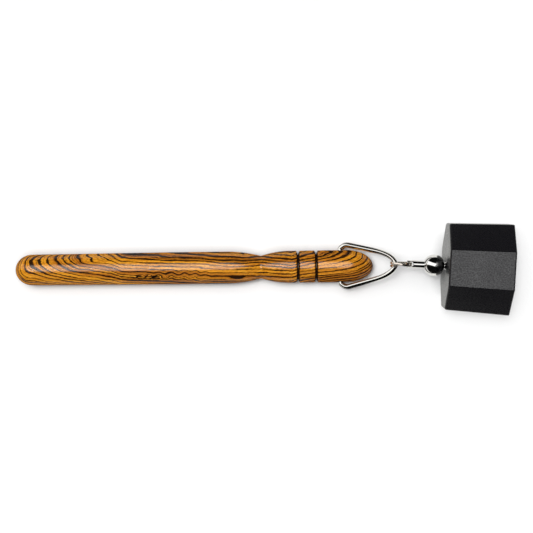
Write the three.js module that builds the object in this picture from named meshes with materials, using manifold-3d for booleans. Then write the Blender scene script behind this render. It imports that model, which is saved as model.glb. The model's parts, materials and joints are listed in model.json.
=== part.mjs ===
// A pocket cue-chalk holder: a turned hardwood stick, a sprung wire bail on its end, a split ring,
// a ball swivel and an octagonal cup that takes one cube of billiard chalk.
// Units are millimetres and degrees, +Z is up. The holder lies on a surface at Z = 0, stick along X.
import * as THREE from "three";
import { mergeVertices } from "three/addons/utils/BufferGeometryUtils.js";
import Module from "manifold-3d";

const wasm = await Module();
wasm.setup();

// ---- Driving dimensions ----

// Stick. Its head is the end with the bail, and places along it are measured back from the head.
const STICK_LENGTH = 139.8;
const STICK_RADIUS = 6.25;
const HEAD_ROUNDING = 10.2;
const BUTT_ROUNDING = 6.5;
const BUTT_SLIMMING = 0.25;
const BUTT_TAPER = 54;
const HEAD_TO_PIVOT = 12.7;
const HEAD_TO_GROOVES = [29.3, 22.2];
const GROOVE_WIDTH = 1.3;
const GROOVE_DEPTH = 1.5;
const HEAD_TO_WAIST = 43.8;
const WAIST_RADIUS = 4.4;
const WAIST_RUN_BUTT_SIDE = 13.5;
const WAIST_RUN_HEAD_SIDE = 11.5;
const STICK_ROLL = -6;

// Bail, in its own plane: forward from the pivot line, and out from its middle line.
const WIRE_RADIUS = 1;
const NOSE_PAST_HEAD = 10;
const ARCH_LENGTH = 8.2;
const SHOULDER_INSIDE_STICK = 0.75;
const ELBOW_OUTSIDE_STICK = 2.1;
const ELBOW_FORWARD = 2.3;
const ROOT_OUTSIDE_STICK = 0.6;
const TIP_INSIDE_STICK = 3.6;
const ARCH_PULL = 5.2;
const NOSE_PULL = 2.2;

// Split ring: two turns of flattened wire. Angles run from the swivel's side, up and over.
const RING_INNER_RADIUS = 3.5;
const RING_WIDTH = 0.9;
const RING_WIRE_THICKNESS = 0.55;
const RING_SPLAY = 0.3;
const RING_STEP_AT = 90;
const RING_STEP_HALF_ANGLE = 26;

// Swivel, measured along its own axis from the middle of the eye.
const STEM_RADIUS = 1.5;
const EYE_END_WALL = 0.55;
const EYE_TO_BALL = 8.9;
const BALL_RADIUS = 4.15;
const BALL_SHOULDER = 1.7;
const HEAD_OVERHANG = 0.8;
const HEAD_THICKNESS = 1.2;
const NECK_SHOWING = 0.95;
const EDGE_BREAK = 0.2;

// Cup, measured along the swivel's axis from its closed end. Its walls are thinnest beside the
// middle of a flat, and its outside is drafted, so they are thicker at the mouth.
const CHALK_CUBE = 22.2;
const CHALK_CLEARANCE = 0.15;
const CUP_LENGTH = 24.5;
const CUP_WALL_CLOSED_END = 5.1;
const CUP_WALL_MOUTH = 6;
const CUP_FLOOR_WEB = 3;
const CUP_EDGE = 0.4;
const POCKET_CORNER_RADIUS = 2;
const CUP_YAW = -3.7;

// Washer and nut, in a recess in the pocket's floor.
const WASHER_RADIUS = 3.5;
const WASHER_THICKNESS = 0.5;
const NUT_FLATS = 5.5;
const NUT_THICKNESS = 2.4;
const STUD_PAST_NUT = 0.3;
const SPANNER_ROOM = 1;

// Clearances.
const RUNNING_GAP = 0.1;
const SOCKET_GAP = 0.15;
const SOCKET_END_GAP = 0.4;
const RING_ON_WIRE_GAP = 0.25;

// Facets.
const STICK_SIDES = 40;
const SMALL_SIDES = 24;
const WIRE_SIDES = 12;

// ---- Worked-out sizes ----

const radians = THREE.MathUtils.degToRad;

// The distance from a circle's middle to a chord, from the chord's half length, or the reverse.
const chord = (radius, distance) => Math.sqrt(radius * radius - distance * distance);

const BUTT_RADIUS = STICK_RADIUS - BUTT_SLIMMING;
const PIVOT_AT = STICK_LENGTH - HEAD_TO_PIVOT;
const WAIST_AT = STICK_LENGTH - HEAD_TO_WAIST;
const GROOVES_AT = HEAD_TO_GROOVES.map((back) => STICK_LENGTH - back);

const BAIL_LENGTH = HEAD_TO_PIVOT + NOSE_PAST_HEAD;

const RING_MIDDLE_RADIUS = RING_INNER_RADIUS + RING_WIDTH / 2;
const RING_CENTRE_FORWARD = RING_INNER_RADIUS - WIRE_RADIUS - RING_ON_WIRE_GAP;

// The ring's wire is a little curved inside the eye, so the eye sits half of that inside its circle.
const EYE_INSET = (RING_MIDDLE_RADIUS - chord(RING_MIDDLE_RADIUS, STEM_RADIUS)) / 2;
const EYE_RADIUS =
  Math.hypot(RING_WIDTH / 2 + EYE_INSET, RING_WIRE_THICKNESS + RUNNING_GAP / 2) + RUNNING_GAP;
const EYE_TO_END = EYE_RADIUS + EYE_END_WALL;

const HEAD_RADIUS = STEM_RADIUS + HEAD_OVERHANG;
const FLANGE_RADIUS = HEAD_RADIUS + RUNNING_GAP;
const BALL_BORE = STEM_RADIUS + RUNNING_GAP;
const BALL_COUNTERBORE = FLANGE_RADIUS + RUNNING_GAP;
const BALL_FLAT = chord(BALL_RADIUS, BALL_COUNTERBORE);
const HEAD_FROM = EYE_TO_BALL - BALL_SHOULDER + RUNNING_GAP;
const HEAD_TO = HEAD_FROM + HEAD_THICKNESS;
const FLANGE_TO = EYE_TO_BALL + BALL_FLAT;
const FACE_AT = FLANGE_TO + NECK_SHOWING;

const POCKET = CHALK_CUBE + 2 * CHALK_CLEARANCE;
const HALF_FLATS_CLOSED_END = POCKET / 2 + CUP_WALL_CLOSED_END;
const DRAFT = Math.atan2(CUP_WALL_MOUTH - CUP_WALL_CLOSED_END, CUP_LENGTH);

const WASHER_FROM = FACE_AT + CUP_FLOOR_WEB + RUNNING_GAP;
const NUT_FROM = WASHER_FROM + WASHER_THICKNESS + RUNNING_GAP;
const STUD_TO = NUT_FROM + NUT_THICKNESS + STUD_PAST_NUT;
const POCKET_FROM = STUD_TO + RUNNING_GAP;

// ---- Materials ----

const finish = (color, roughness, metalness) =>
  new THREE.MeshStandardMaterial({ color, roughness, metalness });
const WOOD = finish(0xb9762c, 0.3, 0);
const CHROME = finish(0xdfe1e4, 0.08, 1);
const NICKEL = finish(0xc9c4ba, 0.2, 1);
const ZINC = finish(0xa9adb2, 0.35, 1);
const BLACK_PLASTIC = finish(0x2b2b2c, 0.5, 0);

// ---- Solids ----

// A closed three.js geometry as a solid: shared corners merged, triangles with no area dropped.
function solidOf(geometry) {
  const bare = new THREE.BufferGeometry();
  bare.setAttribute("position", geometry.getAttribute("position"));
  bare.setIndex(geometry.getIndex());
  const merged = mergeVertices(bare, 1e-4);
  const index = merged.getIndex().array;
  const kept = [];
  for (let i = 0; i < index.length; i += 3) {
    const [a, b, c] = index.slice(i, i + 3);
    if (a !== b && b !== c && c !== a) kept.push(a, b, c);
  }
  const mesh = new wasm.Mesh({
    numProp: 3,
    vertProperties: merged.getAttribute("position").array,
    triVerts: new Uint32Array(kept),
  });
  return new wasm.Manifold(mesh);
}

function geometryOf(solid) {
  const mesh = solid.getMesh();
  const geometry = new THREE.BufferGeometry();
  geometry.setAttribute("position", new THREE.BufferAttribute(mesh.vertProperties, 3));
  geometry.setIndex(new THREE.BufferAttribute(mesh.triVerts, 1));
  return geometry;
}

// A body of revolution about X from [along, radius] points, with a flat facing straight down.
function turned(profile, sides) {
  const points = profile.map(([along, radius]) => new THREE.Vector2(radius, along));
  const geometry = new THREE.LatheGeometry(points, sides, Math.PI / sides);
  geometry.rotateZ(-Math.PI / 2);
  return geometry;
}

function turnedSolid(profile, sides) {
  return solidOf(turned(profile, sides));
}

// A drill or plug along X, from one place to another.
function bore(from, to, radius, sides = SMALL_SIDES) {
  return turnedSolid([[from, 0], [from, radius], [to, radius], [to, 0]], sides);
}

// ---- Stick ----

// The quarter of an ellipse that rounds an end: [distance from the tip, radius] points.
function endRounding(length, radius, steps = 10) {
  const points = [];
  for (let i = 0; i <= steps; i++) {
    const angle = (i / steps) * (Math.PI / 2);
    points.push([length * (1 - Math.cos(angle)), radius * Math.sin(angle)]);
  }
  return points;
}

// The stick's radius near its waist: two hollow flanks that meet in a shallow valley.
function waistRadius(along, radius) {
  const offset = along - WAIST_AT;
  const run = offset < 0 ? WAIST_RUN_BUTT_SIDE : WAIST_RUN_HEAD_SIDE;
  const share = Math.max(0, 1 - Math.abs(offset) / run);
  return radius - (radius - WAIST_RADIUS) * share * share;
}

function waistFlank(from, to, steps = 7) {
  const points = [];
  for (let i = 0; i <= steps; i++) {
    const along = from + ((to - from) * i) / steps;
    points.push([along, waistRadius(along, STICK_RADIUS)]);
  }
  return points;
}

function groove(at) {
  return [
    [at - GROOVE_WIDTH / 2, STICK_RADIUS],
    [at, STICK_RADIUS - GROOVE_DEPTH],
    [at + GROOVE_WIDTH / 2, STICK_RADIUS],
  ];
}

function stickProfile() {
  const head = endRounding(HEAD_ROUNDING, STICK_RADIUS)
    .map(([fromTip, radius]) => [STICK_LENGTH - fromTip, radius])
    .reverse();
  return [
    ...endRounding(BUTT_ROUNDING, BUTT_RADIUS),
    [BUTT_ROUNDING + BUTT_TAPER, STICK_RADIUS],
    ...waistFlank(WAIST_AT - WAIST_RUN_BUTT_SIDE, WAIST_AT),
    ...waistFlank(WAIST_AT, WAIST_AT + WAIST_RUN_HEAD_SIDE).slice(1),
    ...GROOVES_AT.flatMap(groove),
    ...head,
  ];
}

// The bail's two sockets lie on one line through the stick, which the stick's roll tilts.
function socket(side) {
  const end = STICK_RADIUS - TIP_INSIDE_STICK - SOCKET_END_GAP;
  const drill = bore(end, STICK_RADIUS + 1, WIRE_RADIUS + SOCKET_GAP);
  return drill.rotate([0, 0, side * 90]).rotate([STICK_ROLL, 0, 0]).translate([PIVOT_AT, 0, 0]);
}

function stickGeometry() {
  let stick = turnedSolid(stickProfile(), STICK_SIDES);
  for (const side of [-1, 1]) stick = stick.subtract(socket(side));
  return geometryOf(stick);
}

// ---- Bail ----

// One half of the wire's middle line, from the nose to the tip in its socket.
function bailHalf(side) {
  const at = (forward, out) => new THREE.Vector3(forward, side * out, 0);
  const nose = at(BAIL_LENGTH, 0);
  const shoulder = at(BAIL_LENGTH - ARCH_LENGTH, STICK_RADIUS - SHOULDER_INSIDE_STICK);
  const elbow = at(ELBOW_FORWARD, STICK_RADIUS + ELBOW_OUTSIDE_STICK);
  const root = at(0, STICK_RADIUS + ROOT_OUTSIDE_STICK);
  const tip = at(0, STICK_RADIUS - TIP_INSIDE_STICK);
  const arm = shoulder.clone().sub(elbow).normalize();
  const stub = elbow.clone().sub(root).normalize();
  const out = at(0, 1);
  const elbowIn = elbow.clone().addScaledVector(arm, 1.3);
  const elbowOut = elbow.clone().addScaledVector(stub, -1.1);
  const rootIn = root.clone().addScaledVector(stub, 0.6);
  const rootOut = root.clone().addScaledVector(out, -0.6);
  return [
    new THREE.CubicBezierCurve3(
      nose,
      nose.clone().addScaledVector(out, NOSE_PULL),
      shoulder.clone().addScaledVector(arm, ARCH_PULL),
      shoulder,
    ),
    new THREE.LineCurve3(shoulder, elbowIn),
    new THREE.QuadraticBezierCurve3(elbowIn, elbow, elbowOut),
    new THREE.LineCurve3(elbowOut, rootIn),
    new THREE.QuadraticBezierCurve3(rootIn, root, rootOut),
    new THREE.LineCurve3(rootOut, tip),
  ];
}

function roundSection(radius, sides) {
  const shape = new THREE.Shape();
  for (let i = 0; i < sides; i++) {
    const angle = (i / sides) * 2 * Math.PI;
    const x = radius * Math.cos(angle);
    const y = radius * Math.sin(angle);
    if (i === 0) shape.moveTo(x, y);
    else shape.lineTo(x, y);
  }
  shape.closePath();
  return shape;
}

// Points along both halves of the wire, close together where it bends, as one smooth curve.
function bailPath() {
  const pointsOn = { CubicBezierCurve3: 10, QuadraticBezierCurve3: 4, LineCurve3: 3 };
  const half = [];
  for (const piece of bailHalf(1)) {
    half.push(...piece.getPoints(pointsOn[piece.type]).slice(1));
  }
  const nose = new THREE.Vector3(BAIL_LENGTH, 0, 0);
  const mirrored = half.map((p) => new THREE.Vector3(p.x, -p.y, p.z)).reverse();
  return new THREE.CatmullRomCurve3([...mirrored, nose, ...half], false, "centripetal");
}

function bailGeometry() {
  return new THREE.ExtrudeGeometry(roundSection(WIRE_RADIUS, WIRE_SIDES), {
    extrudePath: bailPath(),
    steps: 84,
    bevelEnabled: false,
  });
}

// ---- Split ring ----

// The ring lies in the XZ plane with the bail's nose at the origin, inside its left edge. Its wire
// goes round twice and steps from one side to the other between its own two ends.
class RingCurve extends THREE.Curve {
  getPoint(t, target = new THREE.Vector3()) {
    const step = radians(RING_STEP_HALF_ANGLE);
    const swept = step + t * (4 * Math.PI - 2 * step);
    const angle = radians(RING_STEP_AT) + swept;
    const across = THREE.MathUtils.clamp((swept - 2 * Math.PI) / step, -1, 1);
    const side = Math.sin((across * Math.PI) / 2);
    const towardsBail = Math.max(0, -Math.cos(angle));
    const half = (RING_WIRE_THICKNESS + RUNNING_GAP) / 2 + RING_SPLAY * towardsBail ** 2;
    return target.set(
      RING_CENTRE_FORWARD + RING_MIDDLE_RADIUS * Math.cos(angle),
      side * half,
      RING_MIDDLE_RADIUS * Math.sin(angle),
    );
  }
}

// The flattened wire's section: thickness across the ring, width along its radius.
function ringSection() {
  const x = RING_WIRE_THICKNESS / 2;
  const y = RING_WIDTH / 2;
  const corner = RING_WIRE_THICKNESS * 0.3;
  const shape = new THREE.Shape();
  shape.moveTo(x - corner, -y);
  for (const [px, py] of [
    [x, corner - y],
    [x, y - corner],
    [x - corner, y],
    [corner - x, y],
    [-x, y - corner],
    [-x, corner - y],
    [corner - x, -y],
  ]) {
    shape.lineTo(px, py);
  }
  shape.closePath();
  return shape;
}

function ringGeometry() {
  return new THREE.ExtrudeGeometry(ringSection(), {
    extrudePath: new RingCurve(),
    steps: 96,
    bevelEnabled: false,
  });
}

// ---- Swivel ----

function stemGeometry() {
  const stem = turnedSolid(
    [
      [-EYE_TO_END, 0],
      [-EYE_TO_END, STEM_RADIUS - EDGE_BREAK],
      [-EYE_TO_END + EDGE_BREAK, STEM_RADIUS],
      [HEAD_FROM, STEM_RADIUS],
      [HEAD_FROM, HEAD_RADIUS],
      [HEAD_TO, HEAD_RADIUS],
      [HEAD_TO, 0],
    ],
    SMALL_SIDES,
  );
  const eye = bore(-2 * STEM_RADIUS, 2 * STEM_RADIUS, EYE_RADIUS).rotate([0, 90, 0]);
  return geometryOf(stem.subtract(eye));
}

// The ball is drilled for the stem from one side and counterbored for its head from the other.
function ballGeometry() {
  const from = Math.atan2(BALL_BORE, -chord(BALL_RADIUS, BALL_BORE));
  const to = Math.atan2(BALL_COUNTERBORE, BALL_FLAT);
  const profile = [];
  const steps = 14;
  for (let i = 0; i <= steps; i++) {
    const angle = from + ((to - from) * i) / steps;
    profile.push([EYE_TO_BALL + BALL_RADIUS * Math.cos(angle), BALL_RADIUS * Math.sin(angle)]);
  }
  profile.push([EYE_TO_BALL - BALL_SHOULDER, BALL_COUNTERBORE]);
  profile.push([EYE_TO_BALL - BALL_SHOULDER, BALL_BORE]);
  profile.push(profile[0]);
  return turned(profile, SMALL_SIDES);
}

// The stud closes the ball, shows as a short neck, and runs through the cup's floor into the nut.
function studGeometry() {
  return turned(
    [
      [HEAD_TO + RUNNING_GAP, 0],
      [HEAD_TO + RUNNING_GAP, FLANGE_RADIUS],
      [FLANGE_TO, FLANGE_RADIUS],
      [FLANGE_TO, STEM_RADIUS],
      [STUD_TO - EDGE_BREAK, STEM_RADIUS],
      [STUD_TO, STEM_RADIUS - EDGE_BREAK],
      [STUD_TO, 0],
    ],
    SMALL_SIDES,
  );
}

// ---- Cup ----

// A square with rounded corners, centred on the axis.
function roundedSquare(size, radius) {
  const half = size / 2;
  const shape = new THREE.Shape();
  shape.moveTo(half, radius - half);
  shape.absarc(half - radius, half - radius, radius, 0, Math.PI / 2);
  shape.absarc(radius - half, half - radius, radius, Math.PI / 2, Math.PI);
  shape.absarc(radius - half, radius - half, radius, Math.PI, 1.5 * Math.PI);
  shape.absarc(half - radius, radius - half, radius, 1.5 * Math.PI, 2 * Math.PI);
  return shape;
}

function cupGeometry() {
  const toCorner = 1 / Math.cos(Math.PI / 8);
  const halfFlats = (along) => HALF_FLATS_CLOSED_END + along * Math.tan(DRAFT);
  const ring = (along, inset = 0) => [FACE_AT + along, (halfFlats(along) - inset) * toCorner];
  const outside = turnedSolid(
    [
      [FACE_AT, 0],
      ring(0, CUP_EDGE),
      ring(CUP_EDGE),
      ring(CUP_LENGTH - CUP_EDGE),
      ring(CUP_LENGTH, CUP_EDGE),
      [FACE_AT + CUP_LENGTH, 0],
    ],
    8,
  );
  const pocket = new THREE.ExtrudeGeometry(roundedSquare(POCKET, POCKET_CORNER_RADIUS), {
    depth: CUP_LENGTH,
    bevelEnabled: false,
    curveSegments: 5,
  });
  pocket.rotateY(Math.PI / 2);
  pocket.translate(POCKET_FROM, 0, 0);
  const recess = bore(FACE_AT + CUP_FLOOR_WEB, POCKET_FROM + 1, WASHER_RADIUS + SPANNER_ROOM);
  const hole = bore(FACE_AT - 1, POCKET_FROM, STEM_RADIUS + RUNNING_GAP);
  return geometryOf(outside.subtract(solidOf(pocket)).subtract(recess).subtract(hole));
}

// A flat ring about the axis, such as a washer or, with six sides, a nut.
function annulusGeometry(from, thickness, outer, inner, sides) {
  const body = bore(from, from + thickness, outer, sides);
  return geometryOf(body.subtract(bore(from - 1, from + thickness + 1, inner)));
}

const washerGeometry = () =>
  annulusGeometry(
    WASHER_FROM,
    WASHER_THICKNESS,
    WASHER_RADIUS,
    STEM_RADIUS + RUNNING_GAP,
    SMALL_SIDES,
  );

const nutGeometry = () =>
  annulusGeometry(
    NUT_FROM,
    NUT_THICKNESS,
    NUT_FLATS / 2 / Math.cos(Math.PI / 6),
    STEM_RADIUS + RUNNING_GAP,
    6,
  );

// ---- Assembly ----

function place(name, geometry, material, parent) {
  const mesh = new THREE.Mesh(geometry, material);
  mesh.name = name;
  parent.add(mesh);
  return mesh;
}

// The cup rests on one of its drafted flats, which sets the height and tilt of the swivel's axis.
const STICK_HEIGHT = STICK_RADIUS * Math.cos(Math.PI / STICK_SIDES);
const EYE_HEIGHT = (HALF_FLATS_CLOSED_END - FACE_AT * Math.tan(DRAFT)) * Math.cos(DRAFT);
const BAIL_PITCH = Math.asin(
  (EYE_HEIGHT - STICK_HEIGHT) / (BAIL_LENGTH * Math.cos(radians(STICK_ROLL))),
);

const holder = new THREE.Group();
place("handle", stickGeometry(), WOOD, holder);
holder.position.z = STICK_HEIGHT;

const rolled = new THREE.Group();
rolled.position.x = PIVOT_AT;
rolled.rotation.x = radians(STICK_ROLL);
holder.add(rolled);
const bail = place("bail", bailGeometry(), CHROME, rolled);
bail.rotation.y = -BAIL_PITCH;

const noseForward = BAIL_LENGTH * Math.cos(BAIL_PITCH);
const noseUp = BAIL_LENGTH * Math.sin(BAIL_PITCH);
const ringPlace = new THREE.Group();
ringPlace.position.set(
  PIVOT_AT + noseForward,
  -noseUp * Math.sin(radians(STICK_ROLL)),
  noseUp * Math.cos(radians(STICK_ROLL)),
);
holder.add(ringPlace);
place("split_ring", ringGeometry(), NICKEL, ringPlace);

const swivel = new THREE.Group();
swivel.position.x = RING_CENTRE_FORWARD + RING_MIDDLE_RADIUS - EYE_INSET;
swivel.rotation.set(0, -DRAFT, radians(CUP_YAW), "ZYX");
ringPlace.add(swivel);
place("swivel_stem", stemGeometry(), CHROME, swivel);
place("swivel_ball", ballGeometry(), CHROME, swivel);
place("swivel_stud", studGeometry(), CHROME, swivel);
place("chalk_cup", cupGeometry(), BLACK_PLASTIC, swivel);
place("cup_washer", washerGeometry(), ZINC, swivel);
place("cup_nut", nutGeometry(), ZINC, swivel);

// The part's origin is the middle of its footprint, on the surface that it lies on.
const part = new THREE.Group();
part.add(holder);
part.updateMatrixWorld(true);
const footprint = new THREE.Box3().setFromObject(holder, true);
const middle = footprint.getCenter(new THREE.Vector3());
holder.position.x -= middle.x;
holder.position.y -= middle.y;

export default part;
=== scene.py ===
"""Looks for a pocket cue-chalk holder: turned wood, chrome wire and swivel, and a black octagonal cup.

Every piece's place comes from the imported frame: its joints give the pivot, the bail's nose, the eye and the
swivel's axis, and its boxes give the stick's ends. Lengths are in millimetres until a mesh is made.
"""
import json
import math

import bmesh
import bpy
from mathutils import Matrix, Vector


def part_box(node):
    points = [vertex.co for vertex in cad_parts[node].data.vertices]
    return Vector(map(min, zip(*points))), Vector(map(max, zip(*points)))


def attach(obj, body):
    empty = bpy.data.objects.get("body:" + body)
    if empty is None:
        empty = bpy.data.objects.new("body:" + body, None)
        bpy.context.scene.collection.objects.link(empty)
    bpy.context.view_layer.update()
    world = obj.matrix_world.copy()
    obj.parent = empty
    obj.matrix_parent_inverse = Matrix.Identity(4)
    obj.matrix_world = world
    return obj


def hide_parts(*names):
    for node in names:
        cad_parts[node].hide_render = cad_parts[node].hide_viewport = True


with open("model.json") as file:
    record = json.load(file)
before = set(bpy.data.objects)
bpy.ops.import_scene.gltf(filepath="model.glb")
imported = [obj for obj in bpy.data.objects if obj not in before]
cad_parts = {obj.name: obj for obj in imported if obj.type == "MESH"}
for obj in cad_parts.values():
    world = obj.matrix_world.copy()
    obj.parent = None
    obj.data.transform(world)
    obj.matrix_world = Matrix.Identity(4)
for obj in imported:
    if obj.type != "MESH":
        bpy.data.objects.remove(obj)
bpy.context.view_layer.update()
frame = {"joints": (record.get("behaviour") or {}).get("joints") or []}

MM = 0.001

# ---- Sizes that the looks repeat from the part, in millimetres and degrees ----

STICK_RADIUS = 6.25
HEAD_ROUNDING = 10.2
BUTT_ROUNDING = 6.5
BUTT_RADIUS = 6.0
BUTT_TAPER = 54
HEAD_TO_GROOVES = (29.3, 22.2)
GROOVE_WIDTH = 1.3
GROOVE_DEPTH = 1.5
HEAD_TO_WAIST = 43.8
WAIST_RADIUS = 4.4
WAIST_RUN_BUTT_SIDE = 13.5
WAIST_RUN_HEAD_SIDE = 11.5
SOCKET_RADIUS = 1.15
SOCKET_END = 2.3

WIRE_RADIUS = 1.0
ARCH_LENGTH = 8.2
SHOULDER_OUT = 5.5
ELBOW_FORWARD = 2.3
ELBOW_OUT = 8.35
ROOT_OUT = 6.85
TIP_OUT = 2.65
ARCH_PULL = 5.2
NOSE_PULL = 2.2

RING_MIDDLE_RADIUS = 3.95
RING_CENTRE_FORWARD = 2.25
RING_WIDTH = 0.9
RING_WIRE_THICKNESS = 0.55
RING_TURN_GAP = 0.1
RING_SPLAY = 0.3
RING_STEP_AT = 90
RING_STEP_HALF_ANGLE = 26

STEM_RADIUS = 1.5
EYE_RADIUS = 0.946
EYE_TO_END = 1.496
STEM_TIP_ROUNDING = 0.25
EYE_TO_BALL = 8.9
BALL_RADIUS = 4.15
BALL_BORE = 1.6
BALL_COUNTERBORE = 2.5
BALL_SHOULDER = 1.7
HEAD_RADIUS = 2.3
HEAD_THICKNESS = 1.2
FLANGE_RADIUS = 2.4
NECK_SHOWING = 0.95
NECK_WAIST_DEPTH = 0.28
STUD_EDGE = 0.08
GAP = 0.1

POCKET = 22.5
POCKET_CORNER_RADIUS = 2.0
CUP_LENGTH = 24.5
HALF_FLATS_CLOSED_END = 16.35
HALF_FLATS_MOUTH = 17.25
CUP_FLOOR_WEB = 3.0
CUP_FLOOR = 6.5
RECESS_RADIUS = 4.5
WASHER_RADIUS = 3.5
WASHER_THICKNESS = 0.5
NUT_HALF_FLATS = 2.75
NUT_THICKNESS = 2.4
THREAD_PITCH = 0.5
THREAD_DEPTH = 0.12
THREAD_STEPS = 8

BALL_FLAT = math.sqrt(BALL_RADIUS**2 - BALL_COUNTERBORE**2)
FACE_AT = EYE_TO_BALL + BALL_FLAT + NECK_SHOWING
WASHER_FROM = FACE_AT + CUP_FLOOR_WEB + GAP
NUT_FROM = WASHER_FROM + WASHER_THICKNESS + GAP
STUD_TO = NUT_FROM + NUT_THICKNESS + 0.3

# ---- Places, from the frame ----

joints = {j["name"]: j for j in frame["joints"]}
pivot = Vector(joints["bail_swing"]["pos_m"])
pivot_axis = Vector(joints["bail_swing"]["axis"]).normalized()
nose = Vector(joints["ring_swing"]["pos_m"])
ring_axis = Vector(joints["ring_swing"]["axis"]).normalized()
eye = Vector(joints["eye_turn"]["pos_m"])
eye_axis = Vector(joints["eye_turn"]["axis"]).normalized()
swivel_axis = Vector(joints["swivel_spin"]["axis"]).normalized()

stick_low, stick_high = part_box("handle")
STICK_LENGTH = (stick_high.x - stick_low.x) / MM
butt = Vector((stick_low.x, pivot.y, pivot.z))
BAIL_LENGTH = (nose - pivot).length / MM


def place(origin, forward, left):
    """A matrix from local millimetres to the row frame: X forward, Y left, Z up from those two."""
    up = forward.cross(left).normalized()
    axes = Matrix((forward, left, up)).transposed().to_4x4()
    return Matrix.Translation(origin) @ axes @ Matrix.Scale(MM, 4)


stick_place = place(butt, Vector((1, 0, 0)), Vector((0, 1, 0)))
socket_place = place(pivot, Vector((1, 0, 0)), pivot_axis)
bail_place = place(pivot, (nose - pivot).normalized(), pivot_axis)
ring_place = place(nose, ring_axis.cross(eye_axis), ring_axis)
swivel_left = eye_axis.cross(swivel_axis).normalized()
swivel_place = place(eye, swivel_axis, swivel_left)

# ---- Mesh helpers ----


SHARP_DEGREES = 40


def add_object(name, bm, to_row, sharp_degrees=SHARP_DEGREES):
    """A smooth-shaded object from a bmesh in local millimetres, its sharp edges kept sharp."""
    bm.transform(to_row)
    bmesh.ops.recalc_face_normals(bm, faces=bm.faces)
    mesh = bpy.data.meshes.new(name)
    bm.to_mesh(mesh)
    bm.free()
    mesh.shade_smooth()
    mesh.set_sharp_from_angle(angle=math.radians(sharp_degrees))
    piece = bpy.data.objects.new(name, mesh)
    bpy.context.scene.collection.objects.link(piece)
    return piece


def even_angles(count):
    return [2 * math.pi * i / count for i in range(count)]


def spun(rings, angles, closed=False):
    """A bmesh round the X axis. A ring is (along, radius), the radius a number or a function of angle.
    A ring of radius 0 is one point; closed joins the last ring to the first, for a bored piece."""
    bm = bmesh.new()
    loops = []
    for along, radius in rings:
        if radius == 0:
            loops.append([bm.verts.new((along, 0, 0))])
            continue
        loop = []
        for a in angles:
            r = radius(a) if callable(radius) else radius
            loop.append(bm.verts.new((along, r * math.cos(a), r * math.sin(a))))
        loops.append(loop)
    pairs = list(zip(loops, loops[1:]))
    if closed:
        pairs.append((loops[-1], loops[0]))
    count = len(angles)
    for one, two in pairs:
        for i in range(count):
            j = (i + 1) % count
            corners = [one[i % len(one)], one[j % len(one)], two[j % len(two)], two[i % len(two)]]
            corners = list(dict.fromkeys(corners))
            if len(corners) > 2:
                bm.faces.new(corners)
    return bm


def swept(points, section):
    """A bmesh of a section carried along points without twist, with a face at each end."""
    bm = bmesh.new()
    rings = []
    normal = None
    for i, point in enumerate(points):
        ahead = points[min(i + 1, len(points) - 1)]
        behind = points[max(i - 1, 0)]
        tangent = (ahead - behind).normalized()
        if normal is None:
            normal = tangent.cross(Vector((0, 0, 1)))
            if normal.length < 0.1:
                normal = Vector((0, 1, 0))
        normal = (normal - tangent * normal.dot(tangent)).normalized()
        other = tangent.cross(normal)
        rings.append([bm.verts.new(point + normal * a + other * b) for a, b in section])
    for one, two in zip(rings, rings[1:]):
        for i in range(len(section)):
            j = (i + 1) % len(section)
            bm.faces.new((one[i], one[j], two[j], two[i]))
    bm.faces.new(rings[0])
    bm.faces.new(rings[-1])
    return bm


def cut(piece, cutters):
    """Takes the cutters' solids out of the piece and leaves a plain mesh."""
    for cutter in cutters:
        boolean = piece.modifiers.new("cut", "BOOLEAN")
        boolean.operation = "DIFFERENCE"
        boolean.solver = "EXACT"
        boolean.object = cutter
    evaluated = piece.evaluated_get(bpy.context.evaluated_depsgraph_get())
    mesh = bpy.data.meshes.new_from_object(evaluated)
    piece.modifiers.clear()
    piece.data = mesh
    for cutter in cutters:
        bpy.data.objects.remove(cutter)
    mesh.shade_smooth()
    mesh.set_sharp_from_angle(angle=math.radians(SHARP_DEGREES))


def arc(centre_along, centre_radius, radius, start, end, steps):
    """Profile points on an arc, angles in degrees from forward towards outward."""
    points = []
    for i in range(steps + 1):
        a = math.radians(start + (end - start) * i / steps)
        points.append((centre_along + radius * math.cos(a), centre_radius + radius * math.sin(a)))
    return points


def chord(radius, distance):
    """Half the length of a circle's chord at a distance from its centre."""
    return math.sqrt(radius * radius - distance * distance)


def rounded_polygon(sides, half_flats, corner_radius):
    """The radius of a regular polygon with rounded corners, as a function of angle. A flat faces up."""
    half_angle = math.pi / sides
    inner = half_flats - corner_radius
    corner_at = inner / math.cos(half_angle)
    flat_ends = math.atan(inner * math.tan(half_angle) / half_flats)

    def radius(angle):
        a = (angle + half_angle) % (2 * half_angle) - half_angle
        if abs(a) <= flat_ends:
            return half_flats / math.cos(a)
        off = half_angle - abs(a)
        return corner_at * math.cos(off) + chord(corner_radius, corner_at * math.sin(off))

    return radius


# ---- Materials ----


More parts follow.
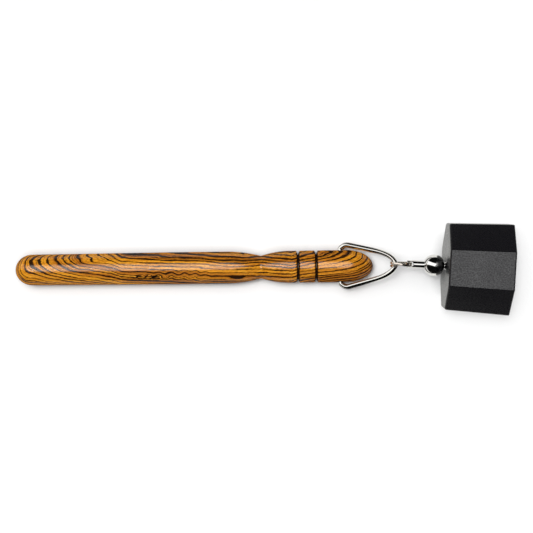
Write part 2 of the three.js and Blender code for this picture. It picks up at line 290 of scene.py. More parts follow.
class NodeTree:
    """A node tree built with short calls. Sockets and numbers can be mixed freely."""

    def __init__(self, tree):
        self.tree = tree

    def node(self, kind, inputs=(), **settings):
        made = self.tree.nodes.new(kind)
        for key, value in settings.items():
            setattr(made, key, value)
        for key, value in dict(inputs).items():
            self.feed(made.inputs[key], value)
        return made

    def feed(self, socket, value):
        if isinstance(value, bpy.types.NodeSocket):
            self.tree.links.new(value, socket)
        else:
            socket.default_value = value

    def math(self, operation, *values):
        inputs = dict(enumerate(values))
        return self.node("ShaderNodeMath", inputs, operation=operation).outputs[0]

    def add(self, first, *others):
        for other in others:
            first = self.math("ADD", first, other)
        return first

    def times(self, first, *others):
        for other in others:
            first = self.math("MULTIPLY", first, other)
        return first

    def ramp(self, value, low, high, to_low=0.0, to_high=1.0, smooth=True):
        kind = "SMOOTHSTEP" if smooth else "LINEAR"
        inputs = {0: value, 1: low, 2: high, 3: to_low, 4: to_high}
        return self.node("ShaderNodeMapRange", inputs, interpolation_type=kind).outputs[0]

    def position(self, origin=(0, 0, 0)):
        """The point in the row frame, in millimetres from an origin."""
        where = self.node("ShaderNodeTexCoord").outputs["Object"]
        moved = self.node("ShaderNodeVectorMath", {0: where, 1: origin}, operation="SUBTRACT")
        return self.node(
            "ShaderNodeVectorMath", {0: moved.outputs[0], 3: 1 / MM}, operation="SCALE"
        ).outputs[0]

    def split(self, vector):
        return self.node("ShaderNodeSeparateXYZ", {0: vector}).outputs

    def join(self, x, y, z):
        return self.node("ShaderNodeCombineXYZ", {0: x, 1: y, 2: z}).outputs[0]

    def noise(self, vector, scale=1.0, detail=2.0, roughness=0.5, stretch=None):
        """Noise from about 0 to 1, its middle at 0.5."""
        if stretch:
            vector = self.node(
                "ShaderNodeVectorMath", {0: vector, 1: stretch}, operation="MULTIPLY"
            ).outputs[0]
        inputs = {"Vector": vector, "Scale": scale, "Detail": detail, "Roughness": roughness}
        return self.node("ShaderNodeTexNoise", inputs).outputs[0]

    def edges(self, value, scale, randomness=1.0):
        """Distance to the nearest of a row of unevenly spaced lines across a value, in its own units."""
        inputs = {"W": value, "Scale": scale, "Randomness": randomness}
        lines = self.node(
            "ShaderNodeTexVoronoi",
            inputs,
            voronoi_dimensions="1D",
            feature="DISTANCE_TO_EDGE",
        ).outputs["Distance"]
        return self.times(lines, 1 / scale)

    def mix(self, share, first, second):
        made = self.node("ShaderNodeMix", data_type="RGBA")
        self.feed(made.inputs[0], share)
        for socket, value in zip((made.inputs[6], made.inputs[7]), (first, second)):
            if not isinstance(value, bpy.types.NodeSocket):
                value = (*value, 1.0)
            self.feed(socket, value)
        return made.outputs[2]

    def bump(self, height, distance, strength=1.0):
        inputs = {"Height": height, "Distance": distance * MM, "Strength": strength}
        return self.node("ShaderNodeBump", inputs).outputs[0]


class Shader(NodeTree):
    """A new material with one surface shader."""

    def __init__(self, name):
        self.material = bpy.data.materials.new(name)
        self.material.use_nodes = True
        super().__init__(self.material.node_tree)
        self.surface = self.tree.nodes["Principled BSDF"]

    def set(self, **values):
        """Sets inputs of the surface shader; underscores in a name stand for spaces."""
        for key, value in values.items():
            self.feed(self.surface.inputs[key.replace("_", " ")], value)


# Eyes where the layers swell round a bud: along the stick, to its left, half length, half width, swell.
EYES = (
    (30, 2.9, 8, 1.7, 0.8),
    (51, -2.9, 5, 1.3, 0.9),
    (58, -3.5, 4, 1.1, 0.8),
    (87, -4.3, 6, 1.6, 1.0),
)


GOLD_DARKER = (0.52, 0.185, 0.007)
GOLD_LIGHTER = (0.74, 0.32, 0.02)
TAN_DARKER = (0.32, 0.1, 0.007)
TAN_LIGHTER = (0.53, 0.19, 0.012)
FLECK = (0.22, 0.062, 0.004)
FINE_LINE = (0.075, 0.02, 0.003)
BOLD_LINE = (0.008, 0.003, 0.0015)
PORE = (0.05, 0.015, 0.003)
BARK = (0.006, 0.003, 0.002)
END_GRAIN = (0.07, 0.028, 0.014)
GROOVE_DARK = (0.009, 0.004, 0.003)
SOCKET_RIM_DARK = (0.03, 0.011, 0.006)

FINE_LINES_PER_MM = 2.1
BOLD_LINES_PER_MM = 0.82


def grain_field(m, x, y, z, p):
    """The growth layers of the stick's timber, in millimetres across them.

    The layers run nearly along the stick. At the butt they lie almost flat and dive through the surface,
    which gives nested arches. From there on they lean round towards the left side until they stand
    almost upright. At the head they lean back by 30 degrees and dive the other way, so that the
    lines bend left and close towards the tip. Curl is a quick wave in one stretch, on the right.
    """
    lean = m.add(
        m.ramp(x, 0, 8, math.radians(5), math.radians(34), smooth=False),
        m.ramp(x, 8, 21, 0, math.radians(19), smooth=False),
        m.ramp(x, 21, 38, 0, math.radians(33), smooth=False),
        m.ramp(x, 112, 134, 0, math.radians(-30), smooth=False),
    )
    across = m.add(
        m.times(z, m.math("COSINE", lean)),
        m.times(y, m.math("SINE", lean)),
    )
    dive = m.add(
        m.ramp(x, 0, 24, 0, 9.4, smooth=False),
        m.ramp(x, 24, 42, 0, 6.3, smooth=False),
        m.ramp(x, 42, 108, 0, 3.8, smooth=False),
        m.ramp(x, 108, STICK_LENGTH, 0, -8.5, smooth=False),
    )
    wander = m.math("SUBTRACT", m.noise(p, 1.0, 1.0, 0.4, (0.04, 0.1, 0.1)), 0.5)
    waves = m.math("SUBTRACT", m.noise(p, 1.0, 2.0, 0.5, (0.13, 0.3, 0.3)), 0.5)
    ripple = m.math("SUBTRACT", m.noise(p, 1.0, 2.0, 0.6, (0.8, 1.3, 1.3)), 0.5)
    field = m.add(across, dive, m.times(wander, 1.8), m.times(waves, 1.1), m.times(ripple, 0.3))
    top = m.ramp(z, -1, 2)
    for at, left, half_length, half_width, swell in EYES:
        u = m.times(m.math("SUBTRACT", x, at), 1 / half_length)
        v = m.times(m.math("SUBTRACT", y, left), 1 / half_width)
        off = m.math("SQRT", m.add(m.times(u, u), m.times(v, v)))
        field = m.add(field, m.times(m.ramp(off, 0, 1, swell, 0), top))
    curl = m.math("SINE", m.add(m.times(x, 1.3), m.times(wander, 9)))
    along = m.times(m.ramp(x, 50, 59), m.ramp(x, 66, 82, 1, 0))
    aside = m.times(m.ramp(y, -5.5, -3), m.ramp(y, -1.5, 0.8, 1, 0))
    return m.add(field, m.times(curl, along, aside, 0.42))


def wood():
    m = Shader("striped_wood")
    p = m.position(butt)
    x, y, z = m.split(p)
    field = grain_field(m, x, y, z, p)

    # Golden ground with soft streaks, browner in some zones across the layers.
    zone = m.noise(m.join(m.times(field, 0.3), m.times(x, 0.006), 3.1), 1.0, 2.0, 0.5)
    streak = m.noise(p, 1.0, 3.0, 0.6, (0.06, 1.5, 1.5))
    flecks = m.noise(p, 1.0, 2.0, 0.6, (0.8, 4.0, 4.0))
    gold = m.mix(m.ramp(streak, 0.3, 0.7), GOLD_DARKER, GOLD_LIGHTER)
    tan = m.mix(m.ramp(streak, 0.35, 0.65), TAN_DARKER, TAN_LIGHTER)
    ground = m.mix(m.ramp(zone, 0.45, 0.62), gold, tan)
    ground = m.mix(m.ramp(flecks, 0.48, 0.66, 0, 0.6), ground, FLECK)

    # Fine brown growth lines, then bold near-black ones of uneven width that fray a little.
    patchy = m.noise(p, 1.0, 2.0, 0.6, (0.1, 0.45, 0.45))
    fray = m.math("SUBTRACT", m.noise(p, 1.0, 2.0, 0.6, (1.2, 3.5, 3.5)), 0.5)
    fine = m.edges(m.add(field, m.times(fray, 0.15)), FINE_LINES_PER_MM)
    fine_width = m.ramp(patchy, 0.35, 0.65, 0.05, 0.17)
    fine_line = m.math("SUBTRACT", 1, m.ramp(fine, m.times(fine_width, 0.2), fine_width))
    fine_share = m.times(fine_line, m.ramp(zone, 0.38, 0.6, 0.4, 0.97))
    lined = m.mix(fine_share, ground, FINE_LINE)

    breaks = m.noise(p, 1.0, 2.0, 0.5, (0.08, 0.35, 0.35))
    bold = m.edges(m.add(field, m.times(fray, 0.26)), BOLD_LINES_PER_MM, 0.9)
    bold_width = m.add(m.ramp(breaks, 0.3, 0.68, 0.14, 0.3), m.ramp(zone, 0.45, 0.65, 0, 0.14))
    bold_line = m.math("SUBTRACT", 1, m.ramp(bold, m.times(bold_width, 0.5), bold_width))
    marked = m.mix(m.times(bold_line, 0.97), lined, BOLD_LINE)

    # Short dark pores along the grain.
    pore = m.noise(p, 1.0, 1.0, 0.5, (0.5, 6.5, 6.5))
    pores = m.mix(m.ramp(pore, 0.66, 0.74, 0.0, 0.55), marked, PORE)

    # A patch of ingrown bark, in a few black blots, on top and a little right of the middle.
    blot = m.noise(p, 1.0, 2.0, 0.6, (0.45, 1.3, 1.3))
    in_length = m.times(m.ramp(x, 44, 48), m.ramp(x, 55, 60, 1, 0))
    in_width = m.times(m.ramp(y, -4.6, -3.6), m.ramp(y, -2.4, -1.5, 1, 0))
    near_bark = m.times(in_length, in_width, m.ramp(z, 0, 2))
    barked = m.mix(m.times(near_bark, m.ramp(blot, 0.5, 0.56)), pores, BARK)

    # The grooves and the rims round the sockets are coloured darker, and end grain soaks up more finish and
    # is darker.
    darkened = barked
    for end, reach in ((0, 1.1), (STICK_LENGTH, 1.5)):
        near = m.math("ABSOLUTE", m.math("SUBTRACT", x, end))
        darkened = m.mix(m.ramp(near, 0.2, reach, 0.75, 0), darkened, END_GRAIN)
    for back in HEAD_TO_GROOVES:
        uneven = m.math("SUBTRACT", m.noise(p, 1.0, 2.0, 0.5, (2.0, 2.0, 2.0)), 0.5)
        near = m.math("ABSOLUTE", m.math("SUBTRACT", x, STICK_LENGTH - back))
        near = m.add(near, m.times(uneven, 0.3))
        in_groove = m.ramp(near, GROOVE_WIDTH * 0.28, GROOVE_WIDTH * 0.58, 1, 0)
        darkened = m.mix(m.times(in_groove, 0.97), darkened, GROOVE_DARK)
    from_pivot = m.math("SUBTRACT", x, (pivot.x - butt.x) / MM)
    along_socket = m.add(m.times(y, pivot_axis.y), m.times(z, pivot_axis.z))
    out_squared = m.add(m.times(y, y), m.times(z, z))
    beside = m.math("SUBTRACT", out_squared, m.times(along_socket, along_socket))
    off_axis = m.math("SQRT", m.add(m.times(from_pivot, from_pivot), m.math("MAXIMUM", beside, 0)))
    ring = m.ramp(off_axis, SOCKET_RADIUS + 0.1, SOCKET_RADIUS + 0.75, 0.95, 0.0)
    near_side = m.ramp(m.math("ABSOLUTE", along_socket), 1.0, 2.0)
    colour = m.mix(m.times(ring, near_side), darkened, SOCKET_RIM_DARK)

    # An oil finish: glossy where it faces the light, and less so where it is seen at a slant.
    slant = m.node("ShaderNodeLayerWeight", {"Blend": 0.5}).outputs["Facing"]
    relief = m.add(m.times(pore, -0.6), m.times(streak, 0.4), m.times(bold_line, -0.3))
    m.set(
        Base_Color=colour,
        Roughness=m.ramp(streak, 0.2, 0.8, 0.45, 0.58),
        Coat_Weight=m.ramp(slant, 0.2, 0.62, 1.0, 0.15),
        Coat_Roughness=0.17,
        Coat_IOR=1.5,
        Specular_IOR_Level=0.0,
        Normal=m.bump(relief, 0.03, 0.35),
    )
    return m.material


def bright_plate(name, colour, roughness, wear):
    """Polished plating with faint uneven polish, fine handling scratches and slight waviness."""
    m = Shader(name)
    p = m.position()
    cloud = m.noise(p, 0.35, 3.0, 0.6)
    scratch = m.noise(p, 1.0, 2.0, 0.7, (3.0, 16.0, 16.0))
    haze = m.ramp(cloud, 0.35, 0.75, roughness, roughness + wear)
    dull = tuple(c * 0.9 for c in colour)
    m.set(
        Base_Color=m.mix(m.ramp(cloud, 0.4, 0.7, 0.0, 0.5), colour, dull),
        Metallic=1.0,
        Roughness=haze,
        Normal=m.bump(m.add(m.times(scratch, 0.2), cloud), 0.012, 0.25),
    )
    return m.material


def zinc_plate():
    m = Shader("zinc_fastener")
    p = m.position()
    turned = m.noise(p, 1.0, 2.0, 0.6, (9.0, 2.0, 2.0))
    mottled = m.noise(p, 1.6, 3.0, 0.6)
    m.set(
        Base_Color=m.mix(m.ramp(mottled, 0.35, 0.7), (0.5, 0.51, 0.53), (0.66, 0.67, 0.68)),
        Metallic=1.0,
        Roughness=m.ramp(turned, 0.3, 0.7, 0.26, 0.42),
        Normal=m.bump(turned, 0.01, 0.3),
    )
    return m.material


CUP_DARKER = (0.0028, 0.0026, 0.0033)
CUP_LIGHTER = (0.0066, 0.0062, 0.008)


def black_satin():
    """Moulded black with a fine spark-eroded texture, a little polished where fingers touch it."""
    m = Shader("black_cup")
    p = m.position()
    speckle = m.noise(p, 1.9, 2.0, 0.7)
    grain = m.noise(p, 4.5, 1.0, 0.5)
    handled = m.noise(p, 0.09, 2.0, 0.5)
    tone = m.mix(m.ramp(speckle, 0.35, 0.65), CUP_DARKER, CUP_LIGHTER)
    rough = m.ramp(speckle, 0.35, 0.65, 0.36, 0.22)
    m.set(
        Base_Color=tone,
        Roughness=m.add(rough, m.ramp(handled, 0.3, 0.7, -0.02, 0.02)),
        Normal=m.bump(m.add(m.times(speckle, 0.7), m.times(grain, 0.4)), 0.06, 0.5),
        IOR=1.4,
    )
    return m.material


WOOD = wood()
CHROME_WIRE = bright_plate("chrome_wire", (0.8, 0.78, 0.73), 0.03, 0.05)
CHROME_SWIVEL = bright_plate("chrome_swivel", (0.8, 0.79, 0.77), 0.04, 0.06)
NICKEL = bright_plate("nickel_ring", (0.76, 0.7, 0.62), 0.09, 0.12)
ZINC = zinc_plate()
BLACK = black_satin()


def finish_piece(piece, material, body, node):
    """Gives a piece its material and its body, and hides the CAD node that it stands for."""
    piece.data.materials.clear()
    piece.data.materials.append(material)
    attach(piece, body)
    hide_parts(node)
    return piece


# ---- Stick ----


def stick_radius(along):
    """The stick's outline between its two rounded ends, without the grooves."""
    offset = along - (STICK_LENGTH - HEAD_TO_WAIST)
    run = WAIST_RUN_BUTT_SIDE if offset < 0 else WAIST_RUN_HEAD_SIDE
    share = max(0.0, 1 - abs(offset) / run)
    taper = max(0.0, 1 - (along - BUTT_ROUNDING) / BUTT_TAPER)
    full = STICK_RADIUS - (STICK_RADIUS - BUTT_RADIUS) * taper
    return full - (full - WAIST_RADIUS) * share * share


def end_rounding(length, radius, steps):
    """A quarter ellipse from a tip on the axis out to the full radius, without the tip itself."""
    points = []
    for i in range(1, steps + 1):
        a = math.pi / 2 * i / steps
        points.append((length * (1 - math.cos(a)), radius * math.sin(a)))
    return points


def groove_profile(at):
    """A turned V-groove with softened lips and a slightly rounded bottom."""
    half = GROOVE_WIDTH / 2
    outer = STICK_RADIUS
    return [
        (at - half - 0.12, outer),
        (at - half - 0.04, outer - 0.02),
        (at - half + 0.03, outer - 0.11),
        (at - 0.16, outer - GROOVE_DEPTH + 0.2),
        (at - 0.06, outer - GROOVE_DEPTH + 0.03),
        (at + 0.06, outer - GROOVE_DEPTH + 0.03),
        (at + 0.16, outer - GROOVE_DEPTH + 0.2),
        (at + half - 0.03, outer - 0.11),
        (at + half + 0.04, outer - 0.02),
        (at + half + 0.12, outer),
    ]


def stick_profile():
    grooves = [STICK_LENGTH - back for back in HEAD_TO_GROOVES]
    profile = [(0, 0)] + end_rounding(BUTT_ROUNDING, BUTT_RADIUS, 20)
    along = BUTT_ROUNDING + 1
    plain = []
    while along < STICK_LENGTH - HEAD_ROUNDING - 0.5:
        if all(abs(along - at) > GROOVE_WIDTH for at in grooves):
            plain.append((along, stick_radius(along)))
        along += 0.5 if abs(along - (STICK_LENGTH - HEAD_TO_WAIST)) < 14 else 1.0
    for at in grooves:
        plain += groove_profile(at)
    profile += sorted(plain)
    head = end_rounding(HEAD_ROUNDING, STICK_RADIUS, 26)
    profile += [(STICK_LENGTH - from_tip, r) for from_tip, r in reversed(head)]
    return profile + [(STICK_LENGTH, 0)]


def socket_cutter(side):
    """A drill with a small countersink, along the pivot's line from one side."""
    profile = [
        (SOCKET_END, 0),
        (SOCKET_END, SOCKET_RADIUS),
        (STICK_RADIUS - 0.3, SOCKET_RADIUS),
        (STICK_RADIUS + 0.3, SOCKET_RADIUS + 0.45),
        (STICK_RADIUS + 1, SOCKET_RADIUS + 0.45),
        (STICK_RADIUS + 1, 0),
    ]
    turn = Matrix.Rotation(math.radians(90 * side), 4, "Z")
    return add_object("cutter", spun(profile, even_angles(40)), socket_place @ turn)


def make_handle():
    stick = add_object("turned_handle", spun(stick_profile(), even_angles(112)), stick_place)
    cut(stick, [socket_cutter(side) for side in (-1, 1)])
    return finish_piece(stick, WOOD, "handle", "handle")


# ---- Bail ----


def bezier(controls, steps):
    """Points on a Bezier curve of any degree, without its first one."""
    points = []
    for i in range(1, steps + 1):
        level = [Vector(c) for c in controls]
        t = i / steps
        while len(level) > 1:
            level = [a.lerp(b, t) for a, b in zip(level, level[1:])]
        points.append(level[0])
    return points


def bail_points():
    """The wire's middle line from tip to tip, in the bail's own plane."""
    nose_point = Vector((BAIL_LENGTH, 0, 0))
    shoulder = Vector((BAIL_LENGTH - ARCH_LENGTH, SHOULDER_OUT, 0))
    elbow = Vector((ELBOW_FORWARD, ELBOW_OUT, 0))
    root = Vector((0, ROOT_OUT, 0))
    tip = Vector((0, TIP_OUT, 0))
    out = Vector((0, 1, 0))
    arm = (shoulder - elbow).normalized()
    stub = (elbow - root).normalized()
    elbow_in = elbow + arm * 1.3
    elbow_out = elbow - stub * 1.1
    root_in = root + stub * 0.6
    root_out = root - out * 0.6
    half = [
        *bezier((nose_point, nose_point + out * NOSE_PULL, shoulder + arm * ARCH_PULL, shoulder), 40),
        *bezier((shoulder, elbow_in), 14),
        *bezier((elbow_in, elbow, elbow_out), 14),
        *bezier((elbow_out, root_in), 3),
        *bezier((root_in, root, root_out), 10),
        *bezier((root_out, tip), 6),
    ]
    mirrored = [Vector((p.x, -p.y, p.z)) for p in reversed(half)]
    return mirrored + [nose_point] + half


def round_section(radius, sides):
    return [(radius * math.cos(a), radius * math.sin(a)) for a in even_angles(sides)]


def make_bail():
    wire = add_object("bent_wire_bail", swept(bail_points(), round_section(WIRE_RADIUS, 28)), bail_place)
    return finish_piece(wire, CHROME_WIRE, "bail", "bail")


# ---- Split ring ----


def ring_points(count=260):
    """Two turns of wire that step from one side of the ring to the other between their own ends."""
    step = math.radians(RING_STEP_HALF_ANGLE)
    points = []
    for i in range(count + 1):
        swept_angle = step + (4 * math.pi - 2 * step) * i / count
        angle = math.radians(RING_STEP_AT) + swept_angle
        across = min(1.0, max(-1.0, (swept_angle - 2 * math.pi) / step))
        side = math.sin(across * math.pi / 2)
        towards_bail = max(0.0, -math.cos(angle))
        half = (RING_WIRE_THICKNESS + RING_TURN_GAP) / 2 + RING_SPLAY * towards_bail**2
        points.append(
            Vector(
                (
                    RING_CENTRE_FORWARD + RING_MIDDLE_RADIUS * math.cos(angle),
                    side * half,
                    RING_MIDDLE_RADIUS * math.sin(angle),
                )
            )
        )
    return points


def flat_section(thickness, width, corner, steps=4):
    """A rectangle with rounded corners, centred on the wire."""
    points = []
    for turn, (sx, sy) in enumerate(((1, 1), (-1, 1), (-1, -1), (1, -1))):
        for i in range(steps + 1):
            a = math.radians(90 * turn + 90 * i / steps)
            x = sx * (thickness / 2 - corner) + corner * math.cos(a)
            y = sy * (width / 2 - corner) + corner * math.sin(a)
            points.append((x, y))
    return points


def make_ring():
    points = ring_points()
    section = flat_section(RING_WIDTH, RING_WIRE_THICKNESS, 0.2)
    ring = add_object("sprung_split_ring", swept(points, section), ring_place)
    return finish_piece(ring, NICKEL, "split_ring", "split_ring")


# ---- Swivel ----


def make_stem():
    """A pin with a cross-drilled eye at one end, and at the other the head that the ball turns on."""
    head_from = EYE_TO_BALL - BALL_SHOULDER + GAP
    rounding = STEM_TIP_ROUNDING
    profile = [
        (-EYE_TO_END, 0),
        *arc(-EYE_TO_END + rounding, STEM_RADIUS - rounding, rounding, 180, 90, 6),
        (head_from, STEM_RADIUS),
        (head_from, HEAD_RADIUS),
        (head_from + HEAD_THICKNESS, HEAD_RADIUS),
        (head_from + HEAD_THICKNESS, 0),
    ]
    stem = add_object("swivel_pin", spun(profile, even_angles(48)), swivel_place)
    drill = [
        (-2, 0),
        (-2, EYE_RADIUS + 0.6),
        (-STEM_RADIUS + 0.1, EYE_RADIUS),
        (STEM_RADIUS - 0.1, EYE_RADIUS),
        (2, EYE_RADIUS + 0.6),
        (2, 0),
    ]
    across = Matrix.Rotation(math.radians(-90), 4, "Y")
    cut(stem, [add_object("cutter", spun(drill, even_angles(40)), swivel_place @ across)])
    return finish_piece(stem, CHROME_SWIVEL, "swivel_stem", "swivel_stem")


def make_ball():
    """A shell from the stem's bore round to the counterbore that the stud's flange closes."""
    bore_lip = BALL_BORE + 0.12
    counterbore_lip = BALL_COUNTERBORE + 0.08
    start = math.degrees(math.atan2(bore_lip, -chord(BALL_RADIUS, bore_lip)))
    end = math.degrees(math.atan2(counterbore_lip, chord(BALL_RADIUS, counterbore_lip)))
    bore_from = EYE_TO_BALL - chord(BALL_RADIUS, BALL_BORE)
    profile = [
        *arc(EYE_TO_BALL, 0, BALL_RADIUS, start, end, 56),
        (EYE_TO_BALL + BALL_FLAT - 0.02, BALL_COUNTERBORE + 0.02),
        (EYE_TO_BALL + BALL_FLAT - 0.12, BALL_COUNTERBORE),
        (EYE_TO_BALL - BALL_SHOULDER, BALL_COUNTERBORE),
        (EYE_TO_BALL - BALL_SHOULDER, BALL_BORE),
        (bore_from + 0.15, BALL_BORE),
        (bore_from + 0.04, BALL_BORE + 0.03),
    ]
    ball = add_object("swivel_ball_shell", spun(profile, even_angles(96), closed=True), swivel_place)
    return finish_piece(ball, CHROME_SWIVEL, "cup", "swivel_ball")


def thread_radius(along, crest):
    """A 60-degree thread of one start as a function of angle."""

    def radius(angle):
        turn = (along / THREAD_PITCH - angle / (2 * math.pi)) % 1
        return crest - THREAD_DEPTH * abs(2 * turn - 1)

    return radius


def make_stud():
    """The flange that closes the ball, the neck, thin at its middle, and the thread for the nut."""
    flange_from = EYE_TO_BALL - BALL_SHOULDER + HEAD_THICKNESS + 2 * GAP
    flange_to = EYE_TO_BALL + BALL_FLAT
    thread_from = FACE_AT + 0.4
    rings = [
        (flange_from, 0),
        (flange_from, FLANGE_RADIUS),
        (flange_to - STUD_EDGE, FLANGE_RADIUS),
        (flange_to, FLANGE_RADIUS - STUD_EDGE),
        (flange_to, STEM_RADIUS + 0.12),
        (flange_to + STUD_EDGE, STEM_RADIUS - 0.05),
    ]
    for share in (0.2, 0.35, 0.5, 0.65, 0.8, 1.0):
        waist = NECK_WAIST_DEPTH * math.sin(math.pi * share)
        rings.append((flange_to + 0.05 + NECK_SHOWING * share, STEM_RADIUS - waist))
    rings.append((thread_from - 0.05, STEM_RADIUS))
    steps = int((STUD_TO - 0.2 - thread_from) / THREAD_PITCH * THREAD_STEPS)
    for i in range(steps + 1):
        along = thread_from + i * THREAD_PITCH / THREAD_STEPS
        rings.append((along, thread_radius(along, STEM_RADIUS)))
    rings += [(STUD_TO - 0.1, STEM_RADIUS - 0.2), (STUD_TO, STEM_RADIUS - 0.3), (STUD_TO, 0)]
    stud = add_object("threaded_stud", spun(rings, even_angles(48)), swivel_place)
    return finish_piece(stud, CHROME_SWIVEL, "cup", "swivel_stud")


# ---- Cup ----

CUP_CORNER_RADIUS = 0.55
CUP_END_RADIUS = 0.8
CUP_MOUTH_RADIUS = 0.5


def cup_angles():
    """Angles that crowd round the octagon's and the pocket's corners and thin out on the flats."""
    angles = set()
    for i in range(8):
        corner = 22.5 + 45 * i
        for off in (0, 0.25, 0.5, 0.8, 1.1, 1.6, 2.6, 5, 9, 13.5, 18):
            angles |= {round(corner + off, 4), round(corner - off, 4)}
        angles.add(45.0 * i)
    for i in range(4):
        corner = 45 + 90 * i
        for off in (0, 1.2, 2.4, 3.6, 4.6, 5.3, 5.8, 6.6):
            angles |= {round(corner + off, 4), round(corner - off, 4)}
    return sorted(math.radians(a) for a in {a % 360 for a in angles})


def cup_rings():
    """The cup's rings: out over the closed end, along the drafted flats, and back down the pocket."""
    draft = (HALF_FLATS_MOUTH - HALF_FLATS_CLOSED_END) / CUP_LENGTH

    def octagon(along, inset=0.0):
        half = HALF_FLATS_CLOSED_END + draft * along - inset
        return FACE_AT + along, rounded_polygon(8, half, CUP_CORNER_RADIUS)

    def pocket(along, grow=0.0):
        half = POCKET / 2 + grow
        return FACE_AT + along, rounded_polygon(4, half, POCKET_CORNER_RADIUS)

    hole = STEM_RADIUS + GAP
    rings = [(FACE_AT + CUP_FLOOR_WEB, hole), (FACE_AT + 0.15, hole), (FACE_AT, hole + 0.15)]
    rings += [(FACE_AT, r) for r in (4, 8, 12)]
    rings.append(octagon(0, CUP_END_RADIUS + 0.25))
    for i in range(9):
        a = math.pi / 2 * i / 8
        rings.append(octagon(CUP_END_RADIUS * (1 - math.cos(a)), CUP_END_RADIUS * (1 - math.sin(a))))
    rings += [octagon(along) for along in (CUP_END_RADIUS + 0.25, 6, 12, 18)]
    rings.append(octagon(CUP_LENGTH - CUP_MOUTH_RADIUS - 0.25))
    for i in range(7):
        a = math.pi / 2 * i / 6
        back = CUP_MOUTH_RADIUS * (1 - math.sin(a))
        rings.append(octagon(CUP_LENGTH - back, CUP_MOUTH_RADIUS * (1 - math.cos(a))))
    rings.append(octagon(CUP_LENGTH, CUP_MOUTH_RADIUS + 0.25))
    rings += [pocket(CUP_LENGTH, g) for g in (0.65, 0.4)]
    rings += [pocket(CUP_LENGTH - 0.06, 0.22), pocket(CUP_LENGTH - 0.2, 0.06), pocket(CUP_LENGTH - 0.4)]
    rings += [pocket(along) for along in (18, 12, CUP_FLOOR + 0.3)]
    rings += [pocket(CUP_FLOOR + 0.08, -0.08), pocket(CUP_FLOOR, -0.3)]
    rings += [(FACE_AT + CUP_FLOOR, r) for r in (9.5, 6.5, RECESS_RADIUS + 0.15)]
    rings.append((FACE_AT + CUP_FLOOR - 0.15, RECESS_RADIUS))
    rings += [(FACE_AT + CUP_FLOOR_WEB, r) for r in (RECESS_RADIUS, 3.0)]
    return rings


def make_cup():
    cup = add_object("octagonal_cup", spun(cup_rings(), cup_angles(), closed=True), swivel_place, 50)
    return finish_piece(cup, BLACK, "cup", "chalk_cup")


def make_washer():
    inner = STEM_RADIUS + GAP
    edge = 0.1
    profile = [
        (WASHER_FROM + edge, inner),
        (WASHER_FROM, inner + edge),
        (WASHER_FROM, WASHER_RADIUS - edge),
        (WASHER_FROM + edge, WASHER_RADIUS),
        (WASHER_FROM + WASHER_THICKNESS - edge, WASHER_RADIUS),
        (WASHER_FROM + WASHER_THICKNESS, WASHER_RADIUS - edge),
        (WASHER_FROM + WASHER_THICKNESS, inner + edge),
        (WASHER_FROM + WASHER_THICKNESS - edge, inner),
    ]
    washer = add_object("flat_washer", spun(profile, even_angles(64), closed=True), swivel_place, 60)
    return finish_piece(washer, ZINC, "cup", "cup_washer")


def make_nut():
    """A hexagon nut with the usual chamfer across its corners on both faces."""
    hexagon = rounded_polygon(6, NUT_HALF_FLATS, 0.12)
    bore = STEM_RADIUS + GAP

    def chamfered(depth):
        cone = NUT_HALF_FLATS - 0.05 + depth * math.sqrt(3)
        return lambda a: min(hexagon(a), cone)

    far = NUT_FROM + NUT_THICKNESS
    depths = (0.0, 0.06, 0.12, 0.18, 0.25)
    rings = [(NUT_FROM + 0.2, bore), (NUT_FROM, bore + 0.2), (NUT_FROM, NUT_HALF_FLATS - 0.3)]
    rings += [(NUT_FROM + d, chamfered(d)) for d in depths]
    rings += [(far - d, chamfered(d)) for d in reversed(depths)]
    rings += [(far, NUT_HALF_FLATS - 0.3), (far, bore + 0.2), (far - 0.2, bore)]
    nut = add_object("hexagon_nut", spun(rings, even_angles(144), closed=True), swivel_place, 28)
    return finish_piece(nut, ZINC, "cup", "cup_nut")


# ---- Studio ----

CAMERA_LENS = 87.6
CAMERA_DISTANCE = 508 * MM
CAMERA_TILT = math.radians(3.1)
CAMERA_ROLL = math.radians(0.72)
VIEW_CENTRE = Vector((1.9, 1.28, 6.23)) * MM

FLOOR_HALF_SIZE = 4000 * MM
CONTACT_REACH = 4.5 * MM
CARD_WHITE = (0.8, 0.8, 0.8)
CARD_PAINTED_SHADE = (0.46, 0.46, 0.46)
IMAGE_PALE = (0.72, 0.72, 0.7)
IMAGE_DARK = (0.03, 0.03, 0.03)

STRIP_LEVEL = 1.35
STRIP_SURROUND = 0.004
BACKDROP_LEVEL = 1.0
AMBIENT_LEVEL = 0.125


def make_camera():
    """Nearly straight down, a little towards the far side, and turned so that the stick rises right."""
    right = Vector((math.cos(CAMERA_ROLL), -math.sin(CAMERA_ROLL), 0))
    flat_up = Vector((math.sin(CAMERA_ROLL), math.cos(CAMERA_ROLL), 0))
    back = Vector((0, 0, math.cos(CAMERA_TILT))) + flat_up * math.sin(CAMERA_TILT)
    up = back.cross(right)
    camera = bpy.data.objects.new("camera", bpy.data.cameras.new("camera"))
    camera.data.lens = CAMERA_LENS
    camera.data.sensor_width = 36
    camera.data.clip_start = 0.01
    camera.data.clip_end = 10
    axes = Matrix((right, up, back)).transposed().to_4x4()
    camera.matrix_world = Matrix.Translation(VIEW_CENTRE + back * CAMERA_DISTANCE) @ axes
    bpy.context.scene.collection.objects.link(camera)
    bpy.context.scene.camera = camera


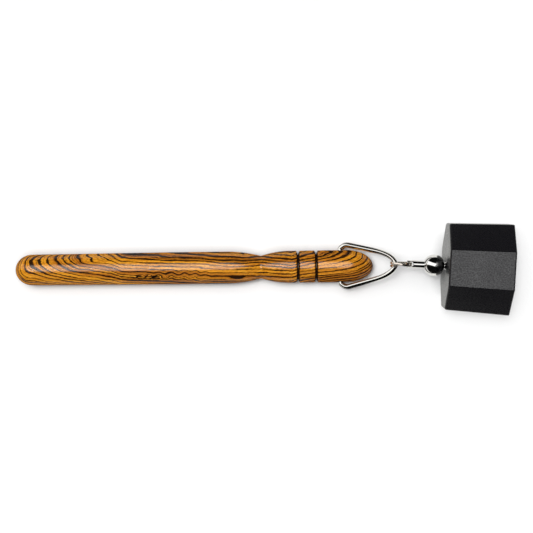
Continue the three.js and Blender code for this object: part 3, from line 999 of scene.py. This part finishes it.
def make_floor():
    """A white card, with shadow painted into its colour where a piece stands close to it. What the pieces
    mirror of it
    is painted apart: dark beside the bail and far away, and pale elsewhere."""
    bm = bmesh.new()
    bmesh.ops.create_grid(bm, x_segments=1, y_segments=1, size=FLOOR_HALF_SIZE)
    mesh = bpy.data.meshes.new("floor")
    bm.to_mesh(mesh)
    bm.free()
    floor = bpy.data.objects.new("floor", mesh)
    bpy.context.scene.collection.objects.link(floor)
    m = Shader("white_card")
    mirrored = m.node("ShaderNodeLightPath").outputs["Is Glossy Ray"]
    x, y, _ = m.split(m.position())
    away = m.math("SQRT", m.add(m.times(x, x), m.times(y, y)))
    under_bail = m.ramp(m.math("ABSOLUTE", y), 6, 12, 1, 0)
    clear_of_bail = m.math("MAXIMUM", m.ramp(x, 40, 50), m.ramp(x, 16, 26, 1, 0))
    pale = m.math("MAXIMUM", clear_of_bail, under_bail)
    pale = m.times(pale, m.ramp(away, 110, 200, 1, 0))
    image = m.mix(pale, IMAGE_DARK, IMAGE_PALE)
    # Painted shadow: the card's colour turns darker where a piece nearby closes off the open sky.
    open_sky = m.node("ShaderNodeAmbientOcclusion", {"Distance": CONTACT_REACH}, samples=12)
    openness = m.ramp(open_sky.outputs["AO"], 0.3, 1.0, 0, 1, smooth=False)
    m.set(
        Base_Color=m.mix(mirrored, m.mix(openness, CARD_PAINTED_SHADE, CARD_WHITE), image),
        Roughness=0.9,
        Specular_IOR_Level=0.0,
    )
    mesh.materials.append(m.material)
    return floor


def linked_group(name, pieces):
    group = bpy.data.collections.new(name)
    for piece in pieces:
        group.objects.link(piece)
    return group


def make_sun(name, level, degrees, towards, blockers, lit):
    """A soft overhead light whose shadows come only from its blockers, and that lights only some
    pieces. Level is the brightness that it gives a white card that faces it."""
    sun = bpy.data.objects.new(name, bpy.data.lights.new(name, "SUN"))
    sun.data.energy = level * math.pi
    sun.data.angle = math.radians(degrees)
    sun.rotation_mode = "QUATERNION"
    sun.rotation_quaternion = Vector(towards).to_track_quat("Z", "Y")
    bpy.context.scene.collection.objects.link(sun)
    sun.light_linking.blocker_collection = linked_group(name + "_blockers", blockers)
    sun.light_linking.receiver_collection = linked_group(name + "_lit", lit)
    return sun


def make_lights(stick, others, dull, floor):
    """Shadows stay close to the pieces, although the cup is far taller than the stick: the cup and its
    fasteners cast none in the widest light, and every piece casts one in the two narrower ones. A
    fill lights the stick's right side only. No sun lights chrome, which mirrors one curved strip of
    light in the dark, from overhead to the far left. Beyond the card, the camera sees white, and
    rough surfaces receive a weak even light."""
    everything = [stick, *others]
    slender = [piece for piece in everything if piece not in dull]
    lit = [stick, *dull, floor]
    make_sun("wide", 0.52, 50, (-0.14, 0.24, 1), slender, lit)
    make_sun("narrow", 0.36, 24, (-0.22, 0.17, 1), everything, lit).visible_glossy = False
    make_sun("tight", 0.34, 11, (-0.18, 0.12, 1), everything, lit).visible_glossy = False
    make_sun("fill", 0.22, 50, (0.1, -1.1, 1), everything, [stick]).visible_glossy = False

    world = bpy.data.worlds.new("studio")
    bpy.context.scene.world = world
    world.use_nodes = True
    m = NodeTree(world.node_tree)
    path = m.node("ShaderNodeLightPath")
    ray = m.node("ShaderNodeTexCoord").outputs["Generated"]

    def along(direction):
        made = m.node("ShaderNodeVectorMath", {0: ray, 1: direction}, operation="DOT_PRODUCT")
        return made.outputs["Value"]

    away = along((-0.87, 0.5, 0))
    side = along((0.5, 0.87, 0))
    middle = m.ramp(away, 0, 1, 0.13, -0.12, smooth=False)
    off = m.math("ABSOLUTE", m.math("SUBTRACT", side, middle))
    inside = m.times(m.ramp(off, 0.25, 0.3, 1, 0), m.ramp(away, -0.16, -0.1))
    strip = m.ramp(inside, 0, 1, STRIP_SURROUND, STRIP_LEVEL)
    plain = m.ramp(path.outputs["Is Camera Ray"], 0, 1, AMBIENT_LEVEL, BACKDROP_LEVEL)
    sees_strip = path.outputs["Is Glossy Ray"]
    unlit = m.math("SUBTRACT", 1, sees_strip)
    level = m.add(m.times(unlit, plain), m.times(sees_strip, strip))
    background = world.node_tree.nodes["Background"]
    m.feed(background.inputs["Strength"], level)
    m.feed(background.inputs["Color"], (1, 1, 1, 1))


make_camera()
bpy.context.scene.view_settings.view_transform = "Standard"

handle = make_handle()
chrome_pieces = [make_bail(), make_ring(), make_stem(), make_ball(), make_stud()]
dull_pieces = [make_cup(), make_washer(), make_nut()]
make_lights(handle, chrome_pieces + dull_pieces, dull_pieces, make_floor())
